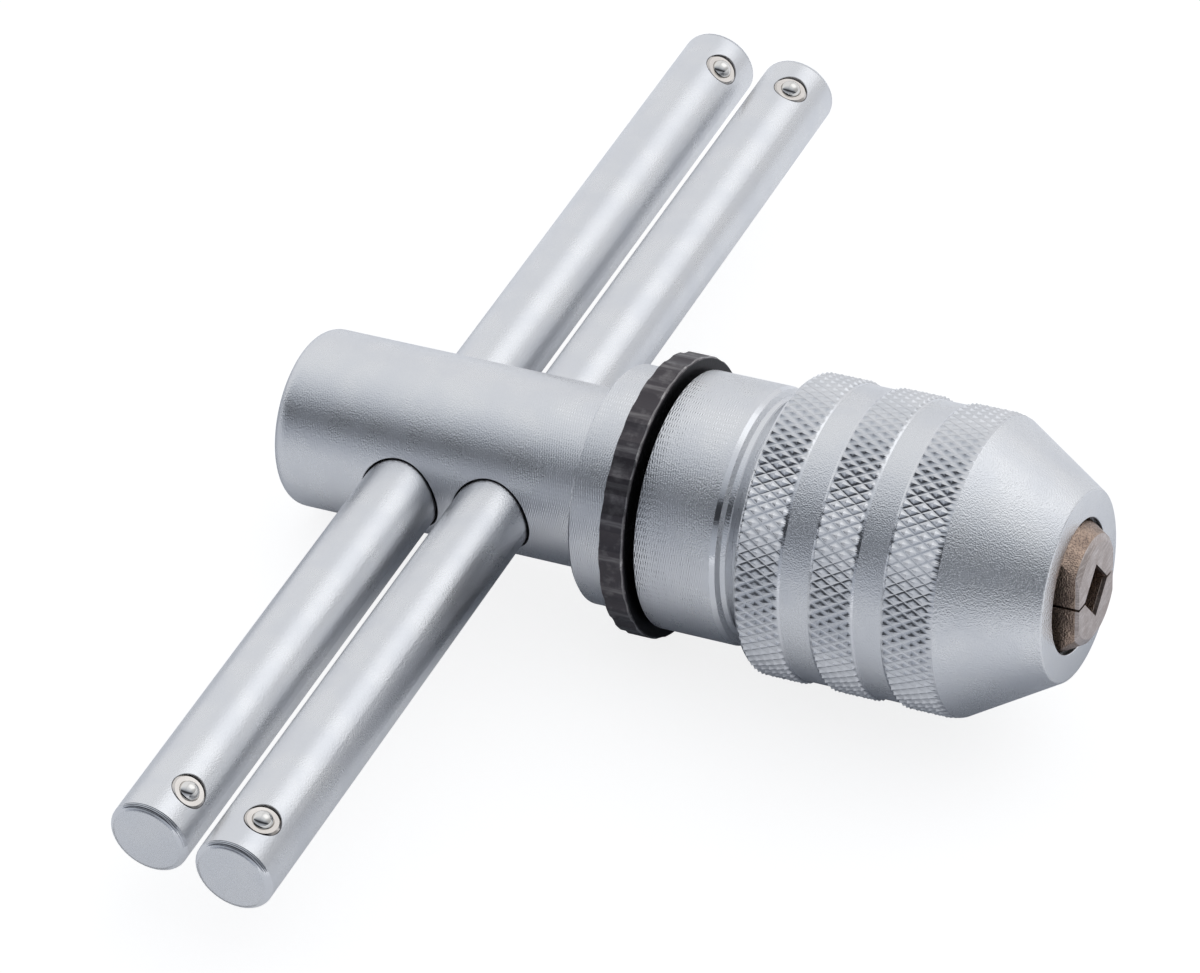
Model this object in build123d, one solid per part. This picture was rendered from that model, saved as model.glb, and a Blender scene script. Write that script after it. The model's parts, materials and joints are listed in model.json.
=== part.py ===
from build123d import *
from math import asin, atan2, cos, degrees, hypot, radians, sin, sqrt, tan
import os

# Ratcheting T-handle tap wrench with two sliding bars, millimetres.
# Every piece is made in the tool's own frame: the spindle axis is X, x = 0 is the rear face of the
# tee body and the nose points to +X; the sliding bars lie along Y. At the end all pieces are laid
# down together on the floor, on the rear edge of the body and the rear of the knurled sleeve.

# Sliding bars and their sprung balls
bar_diameter = 12.0
bar_length = 192.5
bar_end_rounding = 0.9
rear_bar_place = 21.5         # from the rear face of the body
bar_pitch = 15.0              # rear bar to front bar
bar_clearance = 0.10          # radial, in the cross bores
rear_bar_shift = 4.4          # how far each bar has been slid along Y in the photographed state
front_bar_shift = 1.5
rear_bar_turn = 49.0          # degrees from the nose direction up to the sprung balls
front_bar_turn = 68.5
plunger_inset = 6.9           # ball centre to bar end
case_diameter = 5.2
case_length = 7.6
case_sink = 0.25              # face of the case below the crown of the bar
case_edge = 0.3               # bevel round the face of the case
case_floor = 0.8
case_fit = 0.05               # radial gap round the pressed-in case
ball_diameter = 3.2
ball_stand = 1.25             # ball above the face of its case
ball_fit = 0.06               # radial gap round a ball in its hole
lip_gap = 0.03                # crimped lip to ball
lip_depth = 0.4

# Tee body
body_diameter = 27.0
rear_rounding = 2.5
body_length = 51.4            # rear face to flange
bore_edge_chamfer = 0.25
flange_diameter = 36.0
flange_thickness = 6.5
flange_chamfer = 0.35
boss_diameter = 28.0
journal_diameter = 14.0
journal_clearance = 0.05      # radial
journal_wall = 1.5            # between the front cross bore and the end of the journal bore
journal_end_play = 0.15

# Selector ring
ring_wall = 7.1               # radial, from the boss to the outside of the ring
ring_width = 3.8
ring_clearance = 0.06         # radial, on the boss
ring_lobes = 24
lobe_cutter_diameter = 14.0
lobe_depth = 0.22
lobe_turn = 3.3               # degrees, place of the scallops round the ring
ring_edge_chamfer = 0.25
ring_swing = 15.0             # degrees each way
pocket_gap = 0.38             # cam pocket over the rocking pawl, radial
pocket_end_angle = 21.0       # pocket beyond the swing of the ring
pocket_web = 0.7              # front web that hides the pocket
ring_side_play = 0.05
clip_thickness = 0.35
clip_width = 1.0
clip_stand = 0.5              # how far the clip stands above the boss
clip_play = 0.05
clip_gap_angle = 50.0
boss_lip = 0.4                # boss in front of the clip

# Selector ball and spring, carried in the ring
selector_ball_diameter = 2.5
selector_hole_place = 2.0     # from the rear face of the ring
selector_spring_length = 2.8
selector_spring_turns = 4
selector_gap = 0.06           # ball to the back of the pawl

# Ratchet
teeth = 24
tooth_tip_drop = 2.4          # tips of the teeth below the pawl's pin
tooth_depth = 1.2
tooth_land = 0.3
tooth_root_land = 0.3
tooth_side_relief = 0.3
tooth_bore_gap = 0.45         # tooth tips to the bore of the boss
boss_bore_sink = 0.8          # bore of the boss into the flange
pawl_pin_diameter = 1.8
pin_under_clip = 0.15         # pawl's pin below the groove of the clip
pin_hold = 4.0                # pin in the flange
pawl_pin_clearance = 0.03
pawl_front_gap = 0.37         # pawl to the web of the selector ring
pawl_rock = 12.0              # degrees each way
pawl_back = 1.5               # back of the pawl above its pin
pawl_back_half_width = 4.2
pawl_shoulder_half_width = 5.1
pawl_shoulder_drop = 1.2
pawl_belly = 1.7              # underside of the pawl below its pin
pawl_belly_half_width = 2.2
pawl_reach = 0.85             # how deep the tip enters the teeth
pawl_tip_space = 1.5          # tooth spaces from the centre of the pawl to its tip
pawl_tip_half_flat = 0.12
pawl_wedge_half_angle = 30.0
pawl_wedge_height = 1.5
window_end_gap = 0.75         # boss to the ends of the rocking pawl
window_side_play = 0.08

# Spindle
spindle_diameter = 38.6
spindle_end_play = 0.15       # boss to spindle
spindle_length = 13.15        # large cylinder with its two front bevels
spindle_bevel_length = 0.8    # shallow bevel that the chrome leaves bright
spindle_bevel_depth = 0.3
spindle_chamfer_length = 0.5  # from the shallow bevel down to the land
land_diameter = 36.7
land_length = 0.95
land_edge = 0.15
thread_diameter = 32.8
thread_length = 22.05
thread_clearance = 0.05
thread_run_out = 2.0          # thread to the rear of the jaws
front_land_clearance = 0.05
front_land_length = 1.4
prong_below_jaw = 0.5         # prongs lower than the backs of the jaws
prong_gap = 2.65              # ends of the prongs behind the cone of the jaws
jaw_slot_clearance = 0.06
snap_ring_place = 6.5         # from the end of the journal
snap_ring_thickness = 1.0
snap_ring_width = 1.3
snap_ring_stand = 0.75        # part of its width that stands above the journal
snap_ring_play = 0.08
snap_ring_gap_angle = 60.0

# Chuck sleeve
sleeve_back_travel = 0.25     # what is left to screw on in the photographed state
sleeve_back_margin = 0.05
neck_length = 2.55            # open neck that stays between the land and the screwed-on sleeve
sleeve_diameter = 45.0
sleeve_rear_rounding = 0.6
sleeve_length = 44.1
nose_length = 14.0
nose_face_diameter = 28.4
nose_edge = 0.5
mouth_gap = 0.75              # mouth to the cone of the jaws, radial
groove_depth = 0.55
groove_1_place = 7.2          # from the rear of the sleeve
groove_1_width = 4.4
groove_2_place = 18.6
groove_2_width = 4.2
shoulder_rounding = 0.6
sleeve_travel = 5.0           # forward, to open the jaws

# Jaws and the pressure ring round them
jaw_cone_angle = 30.0         # between the cone and the spindle axis
jaw_front_diameter = 15.6
jaw_stick_out = 2.6           # in front of the nose face
jaw_bore_gap = 0.6            # back of an open jaw to the bore of the sleeve
jaw_width = 12.7
jaw_split = 0.4               # gap between the two jaws
jaw_turn = -10.0              # degrees, how the chuck has been left turned in the photographed state
jaw_rear_play = 0.2
square_side = 6.1             # tap square that the jaws hold in the photographed state
square_depth = 16.0
jaw_front_chamfer = 0.6
jaw_spring_inset = 4.4        # from the rear of the jaw
jaw_spring_offset = 3.6
jaw_spring_diameter = 1.7
jaw_spring_wire = 0.3
jaw_spring_depth = 5.0
jaw_spring_turns = 8
jaw_spring_fit = 0.12
pressure_ring_place = 2.5     # front of the pressure ring behind the nose face
pressure_ring_set_back = 0.25 # rear of the pressure ring in front of the plain bore
pressure_ring_wall = 1.6      # radial
pressure_ring_clearance = 0.05

spring_wire = 0.35
spring_turns = 7
spring_side_gap = 0.15
spring_end_gap = 0.05

# Places along the spindle axis
bar_radius = bar_diameter / 2
front_bar_place = rear_bar_place + bar_pitch
bar_bore_radius = bar_radius + bar_clearance
flange_rear = body_length
flange_front = flange_rear + flange_thickness
ring_rear = flange_front + ring_side_play
ring_front = ring_rear + ring_width
ring_radius = boss_diameter / 2 + ring_wall
clip_rear = ring_front + ring_side_play
clip_front = clip_rear + clip_thickness
boss_front = clip_front + clip_play + boss_lip
spindle_rear = boss_front + spindle_end_play
spindle_face = spindle_rear + spindle_length
land_front = spindle_face + land_length
thread_front = land_front + thread_length
journal_bore_end = front_bar_place + bar_bore_radius + journal_wall
journal_end = journal_bore_end + journal_end_play
sleeve_rear = land_front + neck_length + sleeve_back_travel + sleeve_back_margin
nose_face = sleeve_rear + sleeve_length
shoulder = nose_face - nose_length
jaw_front = nose_face + jaw_stick_out
cone_slope = tan(radians(jaw_cone_angle))
jaw_opening = sleeve_travel * cone_slope
jaw_back_radius = thread_diameter / 2 - jaw_opening - jaw_bore_gap
jaw_corner = jaw_front - (jaw_back_radius - jaw_front_diameter / 2) / cone_slope
prong_front = jaw_corner - prong_gap
jaw_rear = thread_front + thread_run_out
slot_floor = jaw_rear - jaw_rear_play
mouth_radius = jaw_front_diameter / 2 + jaw_stick_out * cone_slope + mouth_gap
pawl_rear = flange_front + window_side_play
pawl_thickness = ring_rear + ring_width - pocket_web - pawl_front_gap - pawl_rear
pawl_front = pawl_rear + pawl_thickness
window_front = pawl_front + window_side_play
front_land_rear = spindle_rear - front_land_length
clip_groove_radius = boss_diameter / 2 + clip_stand - clip_width - clip_play
pawl_pivot = clip_groove_radius - pin_under_clip - pawl_pin_diameter / 2
tooth_tip_radius = pawl_pivot - tooth_tip_drop
boss_bore_radius = tooth_tip_radius + tooth_bore_gap
boss_bore_rear = flange_front - boss_bore_sink
pin_rear = flange_front - pin_hold
case_face = bar_radius - case_sink
ball_centre = case_face + ball_stand - ball_diameter / 2
selector_x = ring_rear + selector_hole_place
selector_ball_centre = pawl_pivot + pawl_back + selector_gap + selector_ball_diameter / 2
selector_spring_start = selector_ball_centre + selector_ball_diameter / 2 + spring_end_gap
selector_hole_end = selector_spring_start + selector_spring_length + spring_end_gap
snap_groove_rear = journal_end + snap_ring_place - snap_ring_play
snap_groove_front = journal_end + snap_ring_place + snap_ring_thickness + snap_ring_play


def turned(*points):
    """A solid turned about the spindle axis from (x, radius) corners."""
    outline = Polyline(*points, close=True)
    return revolve(Plane.XZ * make_face(outline), Axis.X, 360)


def rod(x_start, x_end, radius):
    """A round rod on the spindle axis."""
    return Pos(x_start, 0, 0) * (Rot(0, 90, 0) * Cylinder(radius, x_end - x_start, align=low))


def ring_edge(piece, x, radius):
    """The circular edges of a turned piece that lie at one place and radius."""
    found = [e for e in piece.edges().filter_by(GeomType.CIRCLE)
             if abs(e.radius - radius) < 1e-3 and abs(e.arc_center.X - x) < 1e-3
             and abs(e.arc_center.Y) < 1e-3 and abs(e.arc_center.Z) < 1e-3]
    return ShapeList(found)


def coil_spring(outer_radius, wire, length, turns):
    """A helical compression spring standing on z = 0, along +Z."""
    centre_radius = outer_radius - wire / 2
    height = length - wire
    path = Pos(0, 0, wire / 2) * Helix(pitch=height / turns, height=height, radius=centre_radius)
    section = Plane(origin=path @ 0, z_dir=path % 0) * Circle(wire / 2)
    return sweep(section, path=path, is_frenet=True)


def open_ring(x_start, x_end, inner, outer, gap_angle, gap_place):
    """A flat spring ring round the spindle axis with a gap."""
    ring = rod(x_start, x_end, outer) - rod(x_start - 1, x_end + 1, inner)
    half = radians(gap_angle / 2)
    reach = 2 * outer
    wedge = Polyline((0, 0), (reach * sin(-half), reach * cos(half)), (reach * sin(half), reach * cos(half)),
                     close=True)
    cutter = Pos(x_start - 1, 0, 0) * extrude(Plane.YZ * make_face(wedge), x_end - x_start + 2)
    return ring - Rot(gap_place, 0, 0) * cutter


def pawl_point(y, z, angle):
    """Turn a point of the pawl about its pin; y, z are measured from the spindle axis."""
    a = radians(angle)
    dz = z - pawl_pivot
    return (y * cos(a) - dz * sin(a), pawl_pivot + y * sin(a) + dz * cos(a))


def pawl_corners():
    """Corners of the pawl in its middle position, with a wedge-shaped tip at each end."""
    tip_angle = radians(pawl_tip_space * 360 / teeth)
    tip_radius = tooth_tip_radius - pawl_reach
    back_z = pawl_pivot + pawl_back
    belly_z = pawl_pivot - pawl_belly
    shoulder_z = pawl_pivot - pawl_shoulder_drop
    half = [(0, back_z), (pawl_back_half_width, back_z), (pawl_shoulder_half_width, shoulder_z)]
    flare = tan(radians(pawl_wedge_half_angle))
    for side, depth in ((1, pawl_wedge_height), (1, 0), (-1, 0), (-1, pawl_wedge_height)):
        across = side * (pawl_tip_half_flat + depth * flare)
        radius = tip_radius + depth
        y = radius * sin(tip_angle) + across * cos(tip_angle)
        z = radius * cos(tip_angle) - across * sin(tip_angle)
        half.append(pawl_point(y, z, pawl_rock))
    half += [(pawl_belly_half_width, belly_z), (0, belly_z)]
    return half + [(-y, z) for y, z in reversed(half[1:-1])]


def rocked_corners():
    """Corners of the pawl at both ends of its rocking."""
    return [pawl_point(y, z, angle) for angle in (-pawl_rock, pawl_rock) for y, z in pawl_corners()]


low = (Align.CENTER, Align.CENTER, Align.MIN)
pieces = {}


# Tee body: a bar of steel with two cross bores, a flange, and the boss that carries the ring
def tee_body():
    body = rod(0, flange_rear, body_diameter / 2)
    body = fillet(ring_edge(body, 0, body_diameter / 2), rear_rounding)
    flange = rod(flange_rear, flange_front, flange_diameter / 2)
    flange = chamfer(ring_edge(flange, flange_rear, flange_diameter / 2), flange_chamfer)
    boss = rod(flange_front, boss_front, boss_diameter / 2)
    body += [flange, boss]
    body -= rod(journal_bore_end, boss_front, journal_diameter / 2 + journal_clearance)
    body -= rod(boss_bore_rear, boss_front, boss_bore_radius)
    groove_radius = journal_diameter / 2 + snap_ring_stand + snap_ring_play
    body -= rod(snap_groove_rear, snap_groove_front, groove_radius)
    for x in (rear_bar_place, front_bar_place):
        bore = Cylinder(bar_bore_radius, body_diameter + 2)
        body -= Pos(x, 0, 0) * (Rot(90, 0, 0) * bore)
        rim = [e for e in body.edges() if e.geom_type == GeomType.BSPLINE or e.geom_type == GeomType.OTHER]
        rim = [e for e in rim if abs(e.center(CenterOf.BOUNDING_BOX).X - x) < 0.5]
        body = chamfer(rim, bore_edge_chamfer)
    window_half_width = max(y for y, z in rocked_corners()) + window_end_gap
    window = Box(window_front - flange_front, 2 * window_half_width, boss_diameter,
                 align=(Align.MIN, Align.CENTER, Align.MIN))
    window_floor = sqrt(boss_bore_radius ** 2 - window_half_width ** 2)
    body -= Pos(flange_front, 0, window_floor) * window
    body -= Pos(0, 0, pawl_pivot) * rod(pin_rear, boss_front, pawl_pin_diameter / 2)
    clip_groove = rod(clip_rear - clip_play, clip_front + clip_play, boss_diameter / 2 + 1)
    return body - (clip_groove - rod(flange_front, boss_front, clip_groove_radius))


# Pawl pin: a hardened pin pressed through the boss, on which the pawl rocks
def pawl_pin():
    return Pos(0, 0, pawl_pivot) * rod(pin_rear, boss_front, pawl_pin_diameter / 2)


# Reversing pawl: one rocking plate with a tip at each end
def reversing_pawl():
    outline = make_face(Polyline(*pawl_corners(), close=True))
    plate = Pos(pawl_rear, 0, 0) * extrude(Plane.YZ * outline, pawl_thickness)
    hole = pawl_pin_diameter / 2 + pawl_pin_clearance
    return plate - Pos(0, 0, pawl_pivot) * rod(pawl_rear - 1, pawl_front + 1, hole)


# Selector ring: turned and scalloped, blackened, with a cam pocket over the pawl
def selector_ring():
    ring = rod(ring_rear, ring_front, ring_radius)
    ring = chamfer(ring_edge(ring, ring_front, ring_radius), ring_edge_chamfer)
    ring -= rod(ring_rear - 1, ring_front + 1, boss_diameter / 2 + ring_clearance)
    cutter_place = ring_radius - lobe_depth + lobe_cutter_diameter / 2
    cutter = Pos(0, 0, cutter_place) * rod(ring_rear - 1, ring_front + 1, lobe_cutter_diameter / 2)
    ring -= [Rot(lobe_turn + (i + 0.5) * 360 / ring_lobes, 0, 0) * cutter for i in range(ring_lobes)]
    half = radians(ring_swing + pocket_end_angle)
    reach = 2 * ring_radius
    wedge = Polyline((0, 0), (-reach * sin(half), reach * cos(half)), (reach * sin(half), reach * cos(half)),
                     close=True)
    pocket_depth = ring_width - pocket_web
    sector = extrude(Plane.YZ * make_face(wedge), pocket_depth + 1)
    pocket_radius = max(hypot(y, z) for y, z in rocked_corners()) + pocket_gap
    pocket = rod(ring_rear - 1, ring_rear + pocket_depth, pocket_radius)
    ring -= pocket & (Pos(ring_rear - 1, 0, 0) * sector)
    hole_radius = selector_ball_diameter / 2 + ball_fit
    hole = Cylinder(hole_radius, selector_hole_end - boss_diameter / 2, align=low)
    ring -= Pos(selector_x, 0, boss_diameter / 2) * hole
    return ring


def selector_ball():
    return Pos(selector_x, 0, selector_ball_centre) * Sphere(selector_ball_diameter / 2)


def selector_spring():
    outer = selector_ball_diameter / 2 - spring_side_gap
    spring = coil_spring(outer, spring_wire, selector_spring_length, selector_spring_turns)
    return Pos(selector_x, 0, selector_spring_start) * spring


# Selector clip: the wire ring in a groove of the boss that keeps the selector ring on
def selector_clip():
    outer = boss_diameter / 2 + clip_stand
    return open_ring(clip_rear, clip_front, outer - clip_width, outer, clip_gap_angle, 180)


# Spindle: journal, ratchet teeth, large cylinder, thread and the slotted front that guides the jaws
def spindle():
    tip = tooth_tip_radius
    root = tip - tooth_depth
    shaft = rod(journal_end, front_land_rear, journal_diameter / 2)
    groove_radius = journal_diameter / 2 + snap_ring_stand - snap_ring_width - snap_ring_play
    groove = rod(snap_groove_rear, snap_groove_front, journal_diameter)
    shaft -= groove - rod(journal_end, front_land_rear, groove_radius)
    step = radians(360 / teeth)
    corners = []
    for i in range(teeth):
        for radius, half_land, place in ((tip, tooth_land / 2, 0), (root, tooth_root_land / 2, 0.5)):
            for side in (-1, 1):
                a = (i + place) * step + side * half_land / radius
                corners.append((radius * sin(a), radius * cos(a)))
    toothed = extrude(Plane.YZ * make_face(Polyline(*corners, close=True)),
                      pawl_thickness + 2 * tooth_side_relief)
    shaft += Pos(pawl_rear - tooth_side_relief, 0, 0) * toothed
    shaft += rod(front_land_rear, spindle_rear, boss_bore_radius - front_land_clearance)
    head_radius = spindle_diameter / 2
    chamfer_rear = spindle_face - spindle_chamfer_length
    head = turned((spindle_rear, 0), (spindle_rear, head_radius),
                  (chamfer_rear - spindle_bevel_length, head_radius),
                  (chamfer_rear, head_radius - spindle_bevel_depth),
                  (spindle_face, land_diameter / 2), (spindle_face, 0))
    land = rod(spindle_face, land_front, land_diameter / 2)
    land = chamfer(ring_edge(land, land_front, land_diameter / 2), land_edge)
    thread = rod(land_front, thread_front, thread_diameter / 2)
    prongs = rod(thread_front, prong_front, jaw_back_radius - prong_below_jaw)
    shaft += [head, land, thread, prongs]
    slot = Box(prong_front - slot_floor + 1, jaw_width + 2 * jaw_slot_clearance, thread_diameter + 2,
               align=(Align.MIN, Align.CENTER, Align.CENTER))
    return shaft - Rot(jaw_turn, 0, 0) * (Pos(slot_floor, 0, 0) * slot)


# Spindle snap ring: holds the spindle in the body
def spindle_snap_ring():
    snap_x = journal_end + snap_ring_place
    outer = journal_diameter / 2 + snap_ring_stand
    return open_ring(snap_x, snap_x + snap_ring_thickness, outer - snap_ring_width, outer,
                     snap_ring_gap_angle, 180)


# Cone radii inside the nose at a place along the axis
def jaw_cone(x):
    return jaw_front_diameter / 2 + (jaw_front - x) * cone_slope


def mouth_cone(x):
    return mouth_radius + (nose_face - x) * cone_slope


# Pressure ring: a hardened cone ring that lies between the jaws and the turning sleeve
seat_gap = 2 * pressure_ring_clearance + pressure_ring_wall
ring_cone_front = nose_face - pressure_ring_place
seat_x = ring_cone_front + pressure_ring_clearance
seat_radius = jaw_cone(seat_x) + seat_gap
sleeve_bore_radius = thread_diameter / 2 + thread_clearance
sleeve_bore_end = seat_x - (sleeve_bore_radius - seat_radius) / cone_slope
ring_cone_rear = sleeve_bore_end + pressure_ring_set_back


def pressure_ring():
    inner_gap = pressure_ring_clearance
    outer_gap = pressure_ring_clearance + pressure_ring_wall
    return turned((ring_cone_rear, jaw_cone(ring_cone_rear) + inner_gap),
                  (ring_cone_front, jaw_cone(ring_cone_front) + inner_gap),
                  (ring_cone_front, jaw_cone(ring_cone_front) + outer_gap),
                  (ring_cone_rear, jaw_cone(ring_cone_rear) + outer_gap))


# Chuck sleeve: knurled in three bands, with two plain grooves and a conical nose
def chuck_sleeve():
    radius = sleeve_diameter / 2
    groove_1 = sleeve_rear + groove_1_place
    groove_2 = sleeve_rear + groove_2_place
    floor = radius - groove_depth
    sleeve = turned((sleeve_rear, sleeve_bore_radius), (sleeve_rear, radius), (groove_1, radius), (groove_1, floor),
                    (groove_1 + groove_1_width, floor), (groove_1 + groove_1_width, radius),
                    (groove_2, radius), (groove_2, floor), (groove_2 + groove_2_width, floor),
                    (groove_2 + groove_2_width, radius), (shoulder, radius),
                    (nose_face, nose_face_diameter / 2), (nose_face, mouth_radius),
                    (seat_x, mouth_cone(seat_x)), (seat_x, seat_radius),
                    (sleeve_bore_end, sleeve_bore_radius))
    sleeve = fillet(ring_edge(sleeve, sleeve_rear, radius), sleeve_rear_rounding)
    sleeve = fillet(ring_edge(sleeve, shoulder, radius), shoulder_rounding)
    return fillet(ring_edge(sleeve, nose_face, nose_face_diameter / 2), nose_edge)


# Jaws: two hardened halves of one cone, with a V in each that makes a square hole on its corner
def jaw(side):
    half = turned((jaw_rear, 0), (jaw_rear, jaw_back_radius), (jaw_corner, jaw_back_radius),
                  (jaw_front, jaw_front_diameter / 2), (jaw_front, 0))
    half = chamfer(ring_edge(half, jaw_front, jaw_front_diameter / 2), jaw_front_chamfer)
    slab = Box(jaw_front - jaw_rear, jaw_width, 2 * jaw_back_radius,
               align=(Align.MIN, Align.CENTER, Align.MIN))
    half &= Pos(jaw_rear, 0, jaw_split / 2) * slab
    square = Rot(45, 0, 0) * Box(square_depth + 1, square_side, square_side,
                                 align=(Align.MIN, Align.CENTER, Align.CENTER))
    half -= Pos(jaw_front - square_depth, 0, 0) * square
    for y in (-jaw_spring_offset, jaw_spring_offset):
        hole = Cylinder(jaw_spring_diameter / 2 + jaw_spring_fit, jaw_spring_depth + jaw_split / 2, align=low)
        half -= Pos(jaw_rear + jaw_spring_inset, y, 0) * hole
    if side < 0:
        half = Rot(180, 0, 0) * half
    return Rot(jaw_turn, 0, 0) * half


def jaw_spring(y):
    length = 2 * (jaw_spring_depth + jaw_split / 2 - spring_end_gap)
    spring = coil_spring(jaw_spring_diameter / 2, jaw_spring_wire, length, jaw_spring_turns)
    return Rot(jaw_turn, 0, 0) * (Pos(jaw_rear + jaw_spring_inset, y, -length / 2) * spring)


# Sliding bars with a sprung ball near each end
def plunger_seats(place, shift, turn):
    """The frames of a bar's two sprung balls: origin on the bar axis, z outwards."""
    out = (cos(radians(turn)), 0, sin(radians(turn)))
    reach = bar_length / 2 - plunger_inset
    return {end: Plane(origin=(place, shift + sign * reach, 0), x_dir=(0, 1, 0), z_dir=out)
            for end, sign in (("near", -1), ("far", 1))}


def slide_bar(place, shift, seats):
    bar = Cylinder(bar_radius, bar_length)
    bar = fillet(bar.edges().filter_by(GeomType.CIRCLE), bar_end_rounding)
    bar = Pos(place, shift, 0) * (Rot(90, 0, 0) * bar)
    depth = case_sink + case_length + spring_end_gap
    hole = Pos(0, 0, bar_radius - depth) * Cylinder(case_diameter / 2 + case_fit, depth + 1, align=low)
    for seat in seats.values():
        bar -= seat.location * hole
    return bar


def plunger_case():
    """A ball's case, with its face crimped over the ball; z = 0 is the bar axis."""
    bore = ball_diameter / 2 + ball_fit
    ball_at_face = sqrt((ball_diameter / 2) ** 2 - (case_face - ball_centre) ** 2)
    outline = Polyline((0, case_face - case_length), (case_diameter / 2, case_face - case_length),
                       (case_diameter / 2, case_face - case_edge), (case_diameter / 2 - case_edge, case_face),
                       (ball_at_face + lip_gap, case_face),
                       (bore, case_face - lip_depth), (bore, case_face - case_length + case_floor),
                       (0, case_face - case_length + case_floor), close=True)
    return revolve(Plane.XZ * make_face(outline), Axis.Z, 360)


def plunger_ball():
    return Pos(0, 0, ball_centre) * Sphere(ball_diameter / 2)


def plunger_spring():
    start = case_face - case_length + case_floor + spring_end_gap
    length = ball_centre - ball_diameter / 2 - spring_end_gap - start
    return Pos(0, 0, start) * coil_spring(ball_diameter / 2 - spring_side_gap, spring_wire, length, spring_turns)


pieces["tee_body"] = tee_body()
bars = {"rear": (rear_bar_place, rear_bar_shift, rear_bar_turn),
        "front": (front_bar_place, front_bar_shift, front_bar_turn)}
seats = {name: plunger_seats(*values) for name, values in bars.items()}
for name, (place, shift, turn) in bars.items():
    pieces[name + "_slide_bar"] = slide_bar(place, shift, seats[name])
    for end, seat in seats[name].items():
        pieces[f"{name}_bar_{end}_case"] = seat.location * plunger_case()
        pieces[f"{name}_bar_{end}_ball"] = seat.location * plunger_ball()
        pieces[f"{name}_bar_{end}_spring"] = seat.location * plunger_spring()
pieces["selector_ring"] = selector_ring()
pieces["selector_clip"] = selector_clip()
pieces["selector_ball"] = selector_ball()
pieces["selector_spring"] = selector_spring()
pieces["reversing_pawl"] = reversing_pawl()
pieces["pawl_pin"] = pawl_pin()
pieces["spindle"] = spindle()
pieces["spindle_snap_ring"] = spindle_snap_ring()
pieces["pressure_ring"] = pressure_ring()
pieces["chuck_sleeve"] = chuck_sleeve()
pieces["upper_jaw"] = jaw(1)
pieces["lower_jaw"] = jaw(-1)
pieces["left_jaw_spring"] = jaw_spring(jaw_spring_offset)
pieces["right_jaw_spring"] = jaw_spring(-jaw_spring_offset)

# Lay the tool down: one straight line touches the two roundings that it rests on
rear_centre = (rear_rounding, body_diameter / 2 - rear_rounding)
sleeve_centre = (sleeve_rear + sleeve_rear_rounding, sleeve_diameter / 2 - sleeve_rear_rounding)
run = sleeve_centre[0] - rear_centre[0]
rise = sleeve_centre[1] - rear_centre[1]
rest_tilt = degrees(atan2(rise, run) + asin((sleeve_rear_rounding - rear_rounding) / hypot(run, rise)))
laid = {name: Rot(0, -rest_tilt, 0) * piece for name, piece in pieces.items()}
boxes = [piece.bounding_box() for piece in laid.values()]
middle_x = (min(b.min.X for b in boxes) + max(b.max.X for b in boxes)) / 2
middle_y = (min(b.min.Y for b in boxes) + max(b.max.Y for b in boxes)) / 2
floor_z = min(b.min.Z for b in boxes)
rest = Pos(-middle_x, -middle_y, -floor_z) * Rot(0, -rest_tilt, 0)

os.makedirs("parts", exist_ok=True)
for name, piece in pieces.items():
    export_step(rest * piece, f"parts/{name}.step")
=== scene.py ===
import bmesh
import bpy
import json
from math import ceil, cos, e, pi, radians, sin, tan
from mathutils import Matrix, Quaternion, Vector


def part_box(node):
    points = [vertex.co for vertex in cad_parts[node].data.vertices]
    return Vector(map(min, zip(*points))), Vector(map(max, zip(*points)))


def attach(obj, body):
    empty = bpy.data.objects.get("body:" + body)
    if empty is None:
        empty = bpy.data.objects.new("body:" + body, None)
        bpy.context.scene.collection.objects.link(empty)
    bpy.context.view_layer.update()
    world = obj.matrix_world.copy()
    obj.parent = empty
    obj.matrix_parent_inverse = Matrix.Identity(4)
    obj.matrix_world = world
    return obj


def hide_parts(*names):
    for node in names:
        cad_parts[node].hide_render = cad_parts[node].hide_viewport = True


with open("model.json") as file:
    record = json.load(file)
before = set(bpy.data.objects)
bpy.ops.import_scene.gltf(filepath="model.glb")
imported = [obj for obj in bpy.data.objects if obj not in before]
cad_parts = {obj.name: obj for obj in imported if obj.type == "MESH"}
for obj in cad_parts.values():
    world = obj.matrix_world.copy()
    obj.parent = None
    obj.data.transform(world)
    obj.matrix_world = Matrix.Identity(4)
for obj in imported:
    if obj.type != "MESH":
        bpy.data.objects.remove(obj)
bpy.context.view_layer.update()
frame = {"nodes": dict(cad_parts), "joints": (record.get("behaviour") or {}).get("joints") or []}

# Tee body: one turned bar of steel with two cross bores, a flange and the boss behind the ring.
# It is satin chromed: a fine pearly grain lies over the turning marks, which stay clear near the
# flange and on it. The whole tool is placed from its axis, so the place of every piece is read here.
nodes = frame["nodes"]
mm = 0.001
spindle_joint = next(joint for joint in frame["joints"] if joint["name"] == "spindle_spin")
spindle_axis = Vector(spindle_joint["axis"])
side_way = Vector((0, 1, 0))
up_way = spindle_axis.cross(side_way)


def reach_along(node, start=Vector()):
    """Lowest and highest place of a solid along the spindle axis, in millimetres from start."""
    places = [(vertex.co - start).dot(spindle_axis) / mm for vertex in nodes[node].data.vertices]
    return min(places), max(places)


axis_point = Vector(spindle_joint["pos_m"])
tool_start = axis_point + spindle_axis * reach_along("tee_body", axis_point)[0] * mm
tool_turn = Matrix((spindle_axis, side_way, up_way)).transposed().to_4x4()
tool_to_row = Matrix.Translation(tool_start) @ tool_turn


def fill_inputs(made, inputs):
    """Give a node's sockets, by name or by number, their values or links."""
    for name, value in inputs.items():
        if isinstance(value, bpy.types.NodeSocket):
            made.id_data.links.new(value, made.inputs[name])
        else:
            made.inputs[name].default_value = value


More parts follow.
